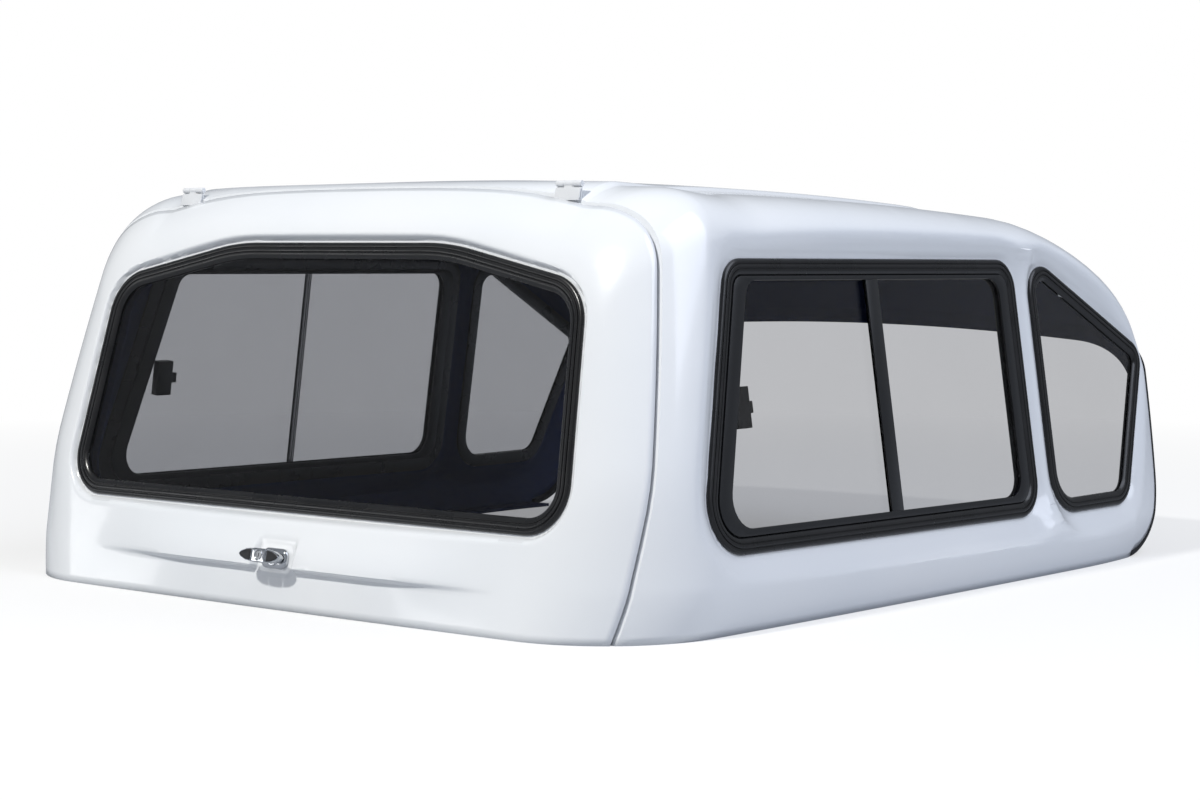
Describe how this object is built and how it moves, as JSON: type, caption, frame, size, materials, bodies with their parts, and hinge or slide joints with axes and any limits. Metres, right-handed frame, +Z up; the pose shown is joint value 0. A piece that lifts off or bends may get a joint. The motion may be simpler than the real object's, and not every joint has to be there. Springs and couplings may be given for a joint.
{
  "type": "pickup canopy",
  "caption": "Moulded canopy for a pickup bed, with tinted side windows in rubber and a lift-up rear door with a tinted window and a locking T-handle.",
  "frame": {"origin": "centre of the footprint at the level of the base, where the canopy stands on the bed rails", "axes": "+X to one side, across the vehicle; +Y to the front, towards the cab; +Z up. The rear door faces -Y."},
  "size_m": [1.4704, 1.605, 0.668],
  "materials": {
    "gelcoat": "white polished gelcoat on glass fibre",
    "window_rubber": "glossy black extruded rubber",
    "seal_rubber": "soft black sponge rubber",
    "black_aluminium": "black satin coating on aluminium",
    "tinted_glass": "grey tinted glass",
    "black_plastic": "matt black moulded plastic",
    "chrome_plate": "bright plated die casting",
    "painted_steel": "steel, powder coated white like the shell",
    "zinc_plate": "zinc plated steel"
  },
  "bodies": {
    "canopy": {"shell": "gelcoat", "base_rail_left": "gelcoat", "base_rail_right": "gelcoat", "main_rubber_left": "window_rubber", "main_rubber_right": "window_rubber", "quarter_rubber_left": "window_rubber", "quarter_rubber_right": "window_rubber", "front_seal": "seal_rubber", "door_seal": "seal_rubber", "main_frame_left": "black_aluminium", "main_frame_right": "black_aluminium", "main_bar_left": "black_aluminium", "main_bar_right": "black_aluminium", "main_pane_rear_left": "tinted_glass", "main_pane_rear_right": "tinted_glass", "main_pane_front_left": "tinted_glass", "main_pane_front_right": "tinted_glass", "quarter_glass_left": "tinted_glass", "quarter_glass_right": "tinted_glass", "window_latch_left": "black_plastic", "window_latch_right": "black_plastic", "hinge_body_left": "painted_steel", "hinge_body_right": "painted_steel"},
    "door": {"door_skin": "gelcoat", "door_inner": "gelcoat", "rear_rubber": "window_rubber", "rear_glass": "tinted_glass", "hinge_door_left": "painted_steel", "hinge_door_right": "painted_steel", "handle_base": "chrome_plate"},
    "handle": {"handle_bar": "chrome_plate", "handle_grips": "black_plastic", "handle_lock": "chrome_plate", "handle_cam": "zinc_plate"}
  },
  "joints": [
    {"name": "door_hinge", "type": "hinge", "parent": "canopy", "child": "door", "pos_m": [0, -0.55292, 0.65244], "axis": [-1, 0, 0], "range_deg": [0, 80]},
    {"name": "handle_turn", "type": "hinge", "parent": "door", "child": "handle", "pos_m": [0, -0.75131, 0.07585], "axis": [0, -0.9724, 0.2334], "range_deg": [0, 90]}
  ]
}
